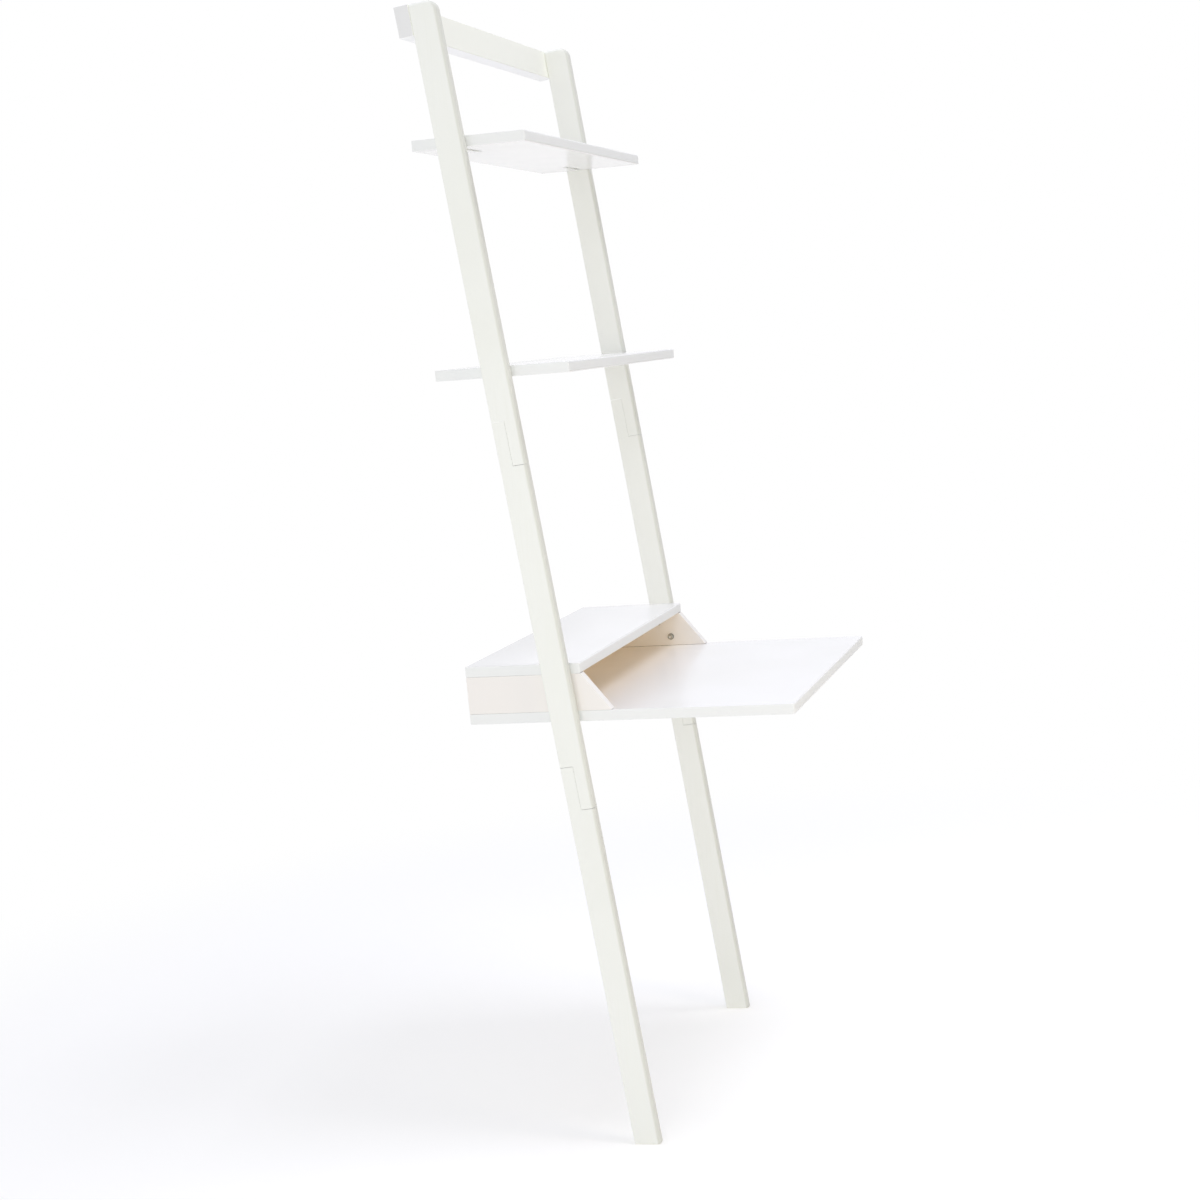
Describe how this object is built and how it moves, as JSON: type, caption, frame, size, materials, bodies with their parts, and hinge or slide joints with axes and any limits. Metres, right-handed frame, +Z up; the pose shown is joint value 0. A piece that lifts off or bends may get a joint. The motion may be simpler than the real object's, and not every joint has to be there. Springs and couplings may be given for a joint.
{
  "type": "ladder desk",
  "caption": "Wall-leaning ladder desk: slanting lapped rails, a rear top crossbar, open shelves and a deep desk board under a low open-fronted cubby",
  "frame": {"origin": "on the floor, at mid width and at mid depth, so the wall is the plane y = +0.2832 m", "axes": "+Z up, +X to the right of someone who sits at the desk, the front faces -Y and the wall is at +Y"},
  "size_m": [0.701, 0.5664, 1.9304],
  "materials": {
    "lacquered_rail": "satin white lacquer",
    "painted_board": "smooth white lacquer",
    "steel_bolt": "bright zinc plate, slightly dulled",
    "steel_washer": "zinc plate",
    "brass_insert": "turned",
    "steel_screw": "zinc plate",
    "beech_dowel": "plain"
  },
  "bodies": {
    "root": {"rail_lower_left": "lacquered_rail", "rail_lower_right": "lacquered_rail", "rail_middle_left": "lacquered_rail", "rail_middle_right": "lacquered_rail", "rail_upper_left": "lacquered_rail", "rail_upper_right": "lacquered_rail", "crossbar": "lacquered_rail", "desk_board": "painted_board", "cubby_top": "painted_board", "cubby_back": "painted_board", "cubby_side_left": "painted_board", "cubby_side_right": "painted_board", "upper_shelf": "painted_board", "lower_shelf": "painted_board", "lower_lap_bolts_left": "steel_bolt", "lower_lap_bolts_right": "steel_bolt", "upper_lap_bolts_left": "steel_bolt", "upper_lap_bolts_right": "steel_bolt", "crossbar_bolts_left": "steel_bolt", "crossbar_bolts_right": "steel_bolt", "upper_shelf_bolt_left": "steel_bolt", "upper_shelf_bolt_right": "steel_bolt", "lower_shelf_bolt_left": "steel_bolt", "lower_shelf_bolt_right": "steel_bolt", "cubby_bolts_left": "steel_bolt", "cubby_bolts_right": "steel_bolt", "cubby_washers_left": "steel_washer", "cubby_washers_right": "steel_washer", "lower_lap_inserts_left": "brass_insert", "lower_lap_inserts_right": "brass_insert", "upper_lap_inserts_left": "brass_insert", "upper_lap_inserts_right": "brass_insert", "crossbar_inserts_left": "brass_insert", "crossbar_inserts_right": "brass_insert", "upper_shelf_insert_left": "brass_insert", "upper_shelf_insert_right": "brass_insert", "lower_shelf_insert_left": "brass_insert", "lower_shelf_insert_right": "brass_insert", "cubby_inserts_left": "brass_insert", "cubby_inserts_right": "brass_insert", "cubby_side_screws_left": "steel_screw", "cubby_side_screws_right": "steel_screw", "cubby_back_screws": "steel_screw", "cubby_side_dowels_left": "beech_dowel", "cubby_side_dowels_right": "beech_dowel", "cubby_back_dowels": "beech_dowel"}
  },
  "joints": []
}
